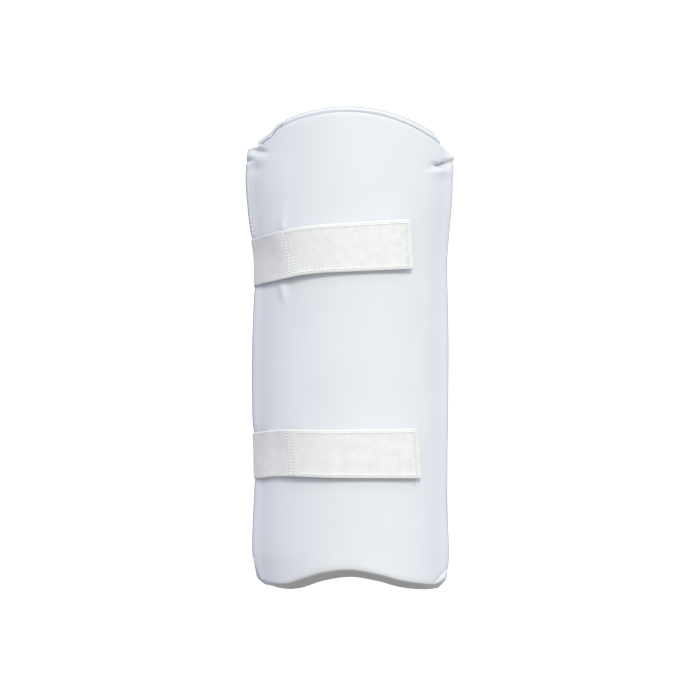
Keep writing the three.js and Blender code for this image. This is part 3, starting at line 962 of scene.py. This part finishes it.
def make_hem_stitches():
    """Overcast threads across the groove at the left, and a running row along the hem at the right."""
    rows = []
    for across in np.arange(-0.68, -0.02, 0.032):
        x = across * HALF_WAIST
        low, normal = arc_point(np.array(x - 0.25), elbow_height(across) - 0.8, 0.0)
        high, _ = arc_point(np.array(x + 0.45), elbow_height(across) + 0.8, -0.75)
        rows.append((low, high, normal))
    for across in np.arange(0.5, 0.86, 0.036):
        x = across * HALF_WAIST
        next_x = x + 0.8 * STITCH
        here, normal = arc_point(np.array(x), elbow_height(across) + 0.9, -0.65)
        there, _ = arc_point(np.array(next_x), elbow_height(next_x / HALF_WAIST) + 0.9, -0.65)
        rows.append((here, there, normal))
    return add_stitches("hem_stitches", rows, "cover", HEM_THREAD)


def make_side_stitches():
    """The seam's stitches that show inside the left edge, below the shoulder."""
    turn = math.radians(-61)
    pitch = 2.3
    x, z = front_point(turn, 0.0, OPEN_ROW)
    normal = np.array([math.sin(turn), 0, math.cos(turn)])
    rows = []
    for y in np.arange(0.47 * HALF_LENGTH, 0.76 * HALF_LENGTH, pitch):
        rows.append((on_guard(x, z, np.array(y)), on_guard(x, z, np.array(y + STITCH)), normal))
    return add_stitches("side_stitches", rows, "cover", SIDE_THREAD)


def tube(path, radius, first):
    """The points and faces of a closed cord along a path, counted from the first point's number."""
    corners = 8
    ahead = np.gradient(path, axis=0)
    ahead = ahead / np.linalg.norm(ahead, axis=1, keepdims=True)
    side = np.cross(ahead, np.array([0.0, 0.0, 1.0]))
    side = side / np.linalg.norm(side, axis=1, keepdims=True)
    up = np.cross(side, ahead)
    angles = np.arange(corners) * math.pi / 4
    ring = side[:, None] * np.cos(angles)[None, :, None] + up[:, None] * np.sin(angles)[None, :, None]
    points = (path[:, None] + radius * ring).reshape(-1, 3)
    return points, ring_faces(first, len(path), corners)


def make_seam_shade_cords():
    """The seam's cord at the outline, grey as painted shade: both long sides, the hem and the fold at its
    left.
    """
    cords = []
    # painted shade: dark grey cords just inside the outline of both long sides, thinner on the right, and
    # at the hem and its fold
    for hand, share in ((-1, 1.0), (1, 0.9)):
        y = np.linspace(wrist_height(hand * 0.985) + WRIST_BEVEL, SEAM_END * HALF_LENGTH, 240)
        turn = np.full(len(y), hand * SEAM_TURN)
        bare = front_point(turn, 0, OPEN_ROW)[0]
        sunk = dent_at(stretched_x(bare, y), y)
        cords.append((on_guard(*front_point(turn, -0.1 - sunk, OPEN_ROW), y), share))
    across = np.linspace(FOLD_START, 0.86, 160)
    hem_path, _ = arc_point(across * HALF_WAIST, arch_height(across), -(HEM_CROWN + HEM_ROLL))
    cords.append((hem_path, 0.5))
    across = np.linspace(-0.9, -0.68, 50)
    fold_path, _ = arc_point(across * HALF_WAIST, elbow_height(across) + 0.3, -0.5)
    cords.append((fold_path, 0.8))
    points = []
    faces = []
    for path, share in cords:
        more_points, more_faces = tube(path, share * SEAM_SHADE_RADIUS, sum(len(one) for one in points))
        points.append(more_points)
        faces.extend(more_faces)
    return add_mesh("seam_shade_cords", np.concatenate(points), faces, SEAM_SHADE, "lining_cloth", sharp=80)


# The light: each channel's level in the sky and its rise toward the elbow end, the sky's rise to the
# right, the share of light from below, and two soft boxes
SKY = [("Red", 0.765, 0.53), ("Green", 0.775, 0.55), ("Blue", 0.88, 0.71)]
SKY_RIGHT = 0.06
GROUND_LIGHT = 0.75
LIGHT_DISTANCE = 4
KEY = {"direction": (0.21, 0.55, 0.81), "size": 0.8, "power": 87, "colour": (0.97, 1.0, 0.78)}
FLOOR_LIGHT = {"direction": (0.0, 0.0, 1.0), "size": 2.0, "power": 540, "colour": (1.0, 1.0, 1.0)}


def add_floor():
    """A dull floor just under the guard, which throws neither light nor shadow on it."""
    bpy.ops.mesh.primitive_plane_add(size=6, location=(0, 0, -CLEARANCE * MM))
    floor = bpy.context.object
    floor.name = "floor"
    material = bpy.data.materials.new("floor_white")
    material.use_nodes = True
    shader = material.node_tree.nodes["Principled BSDF"]
    shader.inputs["Base Color"].default_value = (0.3, 0.3, 0.3, 1)
    shader.inputs["Roughness"].default_value = 0.9
    shader.inputs["Specular IOR Level"].default_value = 0.0
    floor.data.materials.append(material)
    floor.visible_diffuse = False
    floor.visible_glossy = False
    floor.visible_shadow = False
    return floor


def group_of(name, members):
    """A collection of these members, for the light linking."""
    group = bpy.data.collections.new(name)
    for member in members:
        group.objects.link(member)
    return group


def add_light(name, direction, size, power, colour, members):
    """A square soft box that lights these members alone and is blocked by them alone."""
    light = bpy.data.lights.new(name, "AREA")
    light.size = size
    light.energy = power
    light.color = colour
    lamp = bpy.data.objects.new(name, light)
    away = np.array(direction) / np.linalg.norm(direction)
    lamp.location = away * LIGHT_DISTANCE
    azimuth = math.atan2(away[1], away[0])
    lamp.rotation_euler = (0, math.acos(away[2]), azimuth)
    bpy.context.scene.collection.objects.link(lamp)
    lamp.light_linking.receiver_collection = group_of(name + "_lit", members)
    lamp.light_linking.blocker_collection = group_of(name + "_blocking", members)


def add_camera():
    """Straight above the guard, far off, with its wrist end at the bottom of the frame."""
    pixel = 0.547
    frame_width = 700 * pixel
    outline_height = 10
    distance = 6000
    lens = bpy.data.cameras.new("camera")
    lens.sensor_width = 36
    lens.lens = 36 * distance / frame_width
    camera = bpy.data.objects.new("camera", lens)
    camera.location = (0, -1.5 * pixel * MM, (distance + outline_height) * MM)
    bpy.context.scene.collection.objects.link(camera)
    bpy.context.scene.camera = camera


def add_world():
    """Even light from above, brighter from the elbow end, dim from below and from the wrist end."""
    world = bpy.data.worlds.new("studio")
    world.use_nodes = True
    nodes = world.node_tree.nodes
    links = world.node_tree.links
    coords = nodes.new("ShaderNodeTexCoord")
    colour = nodes.new("ShaderNodeCombineColor")
    for channel, level, rise in SKY:
        slope = nodes.new("ShaderNodeVectorMath")
        slope.operation = "DOT_PRODUCT"
        slope.inputs[1].default_value = (SKY_RIGHT, rise, 0.0)
        links.new(coords.outputs["Generated"], slope.inputs[0])
        total = nodes.new("ShaderNodeMath")
        total.inputs[1].default_value = level
        links.new(slope.outputs["Value"], total.inputs[0])
        links.new(total.outputs["Value"], colour.inputs[channel])
    split = nodes.new("ShaderNodeSeparateXYZ")
    links.new(coords.outputs["Generated"], split.inputs["Vector"])
    ground = nodes.new("ShaderNodeMapRange")
    ground.interpolation_type = "SMOOTHSTEP"
    ground.inputs["From Min"].default_value = -0.25
    ground.inputs["From Max"].default_value = 0.15
    ground.inputs["To Min"].default_value = GROUND_LIGHT
    ground.inputs["To Max"].default_value = 1.0
    links.new(split.outputs["Z"], ground.inputs["Value"])
    links.new(colour.outputs["Color"], nodes["Background"].inputs["Color"])
    links.new(ground.outputs["Result"], nodes["Background"].inputs["Strength"])
    bpy.context.scene.world = world


guard = [make_cover(), make_lining(), make_hem()]
for each in (UPPER, LOWER):
    guard += [make_strap(each), make_tape(each), make_strap_stitches(each)]
guard += [make_hem_stitches(), make_side_stitches(), make_seam_shade_cords(), make_loose_thread()]

floor = add_floor()
add_light("key", **KEY, members=guard)
add_light("floor_light", **FLOOR_LIGHT, members=[floor])
add_world()
add_camera()
bpy.context.scene.view_settings.view_transform = "Standard"
